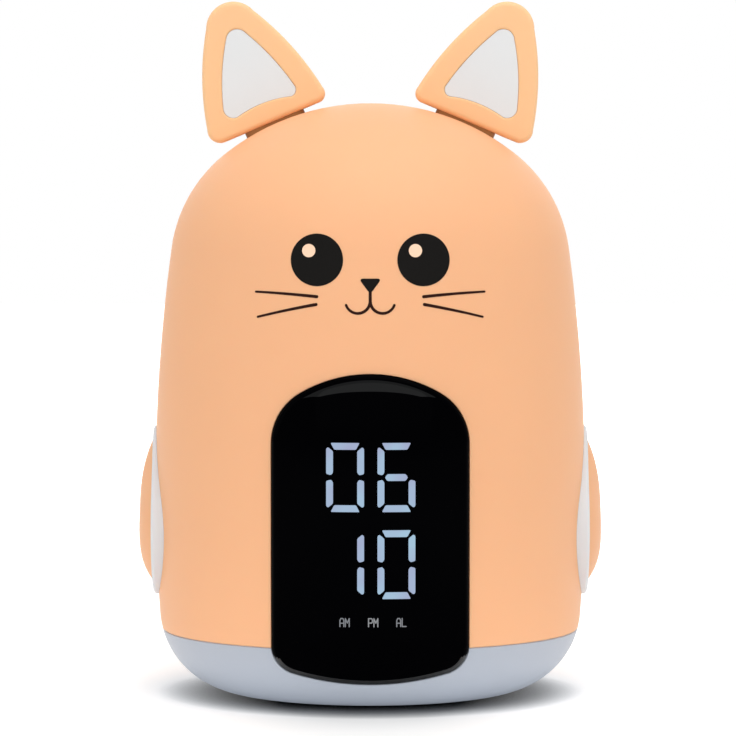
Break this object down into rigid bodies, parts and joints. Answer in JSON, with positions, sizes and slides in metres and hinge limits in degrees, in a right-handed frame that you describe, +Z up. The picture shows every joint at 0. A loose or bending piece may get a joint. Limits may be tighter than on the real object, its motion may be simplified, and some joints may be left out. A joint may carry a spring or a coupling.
{
  "type": "kids alarm clock with night light",
  "caption": "Round domed kids alarm clock and night light with plug-in animal ears, tall dark display, side pads and a rear recess with keys, speaker grille and power inlet.",
  "frame": {"origin": "on the table, under the round body's vertical axis", "axes": "+Z up, the display faces -Y, +X to the viewer's right"},
  "size_m": [0.1312, 0.1232, 0.1957],
  "materials": {
    "shell_peach": "satin, slightly translucent",
    "base_lavender": "satin",
    "trim_white": "satin",
    "lens_black": "polished",
    "tape_grey": "matt",
    "steel": "zinc plated",
    "board_green": "solder mask",
    "board_white": "solder mask",
    "dark_plastic": "matt",
    "magnet_steel": "satin",
    "speaker_paper": "matt",
    "led_body": "clear",
    "chassis_plastic": "matt",
    "diffuser_milk": "milky",
    "cell_jacket": "gloss",
    "foot_rubber": "matt"
  },
  "bodies": {
    "clock": {"body_shell": "shell_peach", "base_tub": "base_lavender", "display_lens": "lens_black", "lens_tape": "tape_grey", "ear_left": "shell_peach", "ear_right": "shell_peach", "ear_inlay_left": "trim_white", "ear_inlay_right": "trim_white", "ear_clips": "trim_white", "ear_screws": "steel", "arm_pad_left": "trim_white", "arm_pad_right": "trim_white", "arm_cap_left": "shell_peach", "arm_cap_right": "shell_peach", "arm_screws": "steel", "rear_panel": "shell_peach", "panel_screws": "steel", "key_board": "board_green", "tact_switches": "dark_plastic", "speaker_basket": "steel", "speaker_cone": "speaker_paper", "speaker_magnet": "magnet_steel", "speaker_ring": "speaker_paper", "main_board": "board_green", "usb_socket": "steel", "switch_housing": "dark_plastic", "display_board": "board_green", "digit_reflector": "trim_white", "display_leds": "led_body", "chassis": "chassis_plastic", "chassis_screws": "steel", "light_board": "board_white", "light_leds": "led_body", "light_diffuser": "diffuser_milk", "battery_cells": "cell_jacket", "battery_contacts": "steel", "base_screws": "steel", "board_screws": "steel", "feet": "foot_rubber"},
    "key_1_body": {"key_1": "trim_white", "plunger_1": "dark_plastic"},
    "key_2_body": {"key_2": "trim_white", "plunger_2": "dark_plastic"},
    "key_3_body": {"key_3": "trim_white", "plunger_3": "dark_plastic"},
    "key_4_body": {"key_4": "trim_white", "plunger_4": "dark_plastic"},
    "key_5_body": {"key_5": "trim_white", "plunger_5": "dark_plastic"},
    "key_6_body": {"key_6": "trim_white", "plunger_6": "dark_plastic"},
    "slider_body": {"power_slider": "trim_white"},
    "door_body": {"battery_door": "base_lavender"}
  },
  "joints": [
    {"name": "key_1_press", "type": "slide", "parent": "clock", "child": "key_1_body", "axis": [0, -1, 0], "range_m": [0, 0.0006], "stiffness_N_per_m": 400},
    {"name": "key_2_press", "type": "slide", "parent": "clock", "child": "key_2_body", "axis": [0, -1, 0], "range_m": [0, 0.0006], "stiffness_N_per_m": 400},
    {"name": "key_3_press", "type": "slide", "parent": "clock", "child": "key_3_body", "axis": [0, -1, 0], "range_m": [0, 0.0006], "stiffness_N_per_m": 400},
    {"name": "key_4_press", "type": "slide", "parent": "clock", "child": "key_4_body", "axis": [0, -1, 0], "range_m": [0, 0.0006], "stiffness_N_per_m": 400},
    {"name": "key_5_press", "type": "slide", "parent": "clock", "child": "key_5_body", "axis": [0, -1, 0], "range_m": [0, 0.0006], "stiffness_N_per_m": 400},
    {"name": "key_6_press", "type": "slide", "parent": "clock", "child": "key_6_body", "axis": [0, -1, 0], "range_m": [0, 0.0006], "stiffness_N_per_m": 400},
    {"name": "power_slide", "type": "slide", "parent": "clock", "child": "slider_body", "axis": [1, 0, 0], "range_m": [0, 0.004]},
    {"name": "door_hinge", "type": "hinge", "parent": "clock", "child": "door_body", "pos_m": [-0.02845, 0, 0.0016], "axis": [0, 1, 0], "range_deg": [0, 60]}
  ]
}
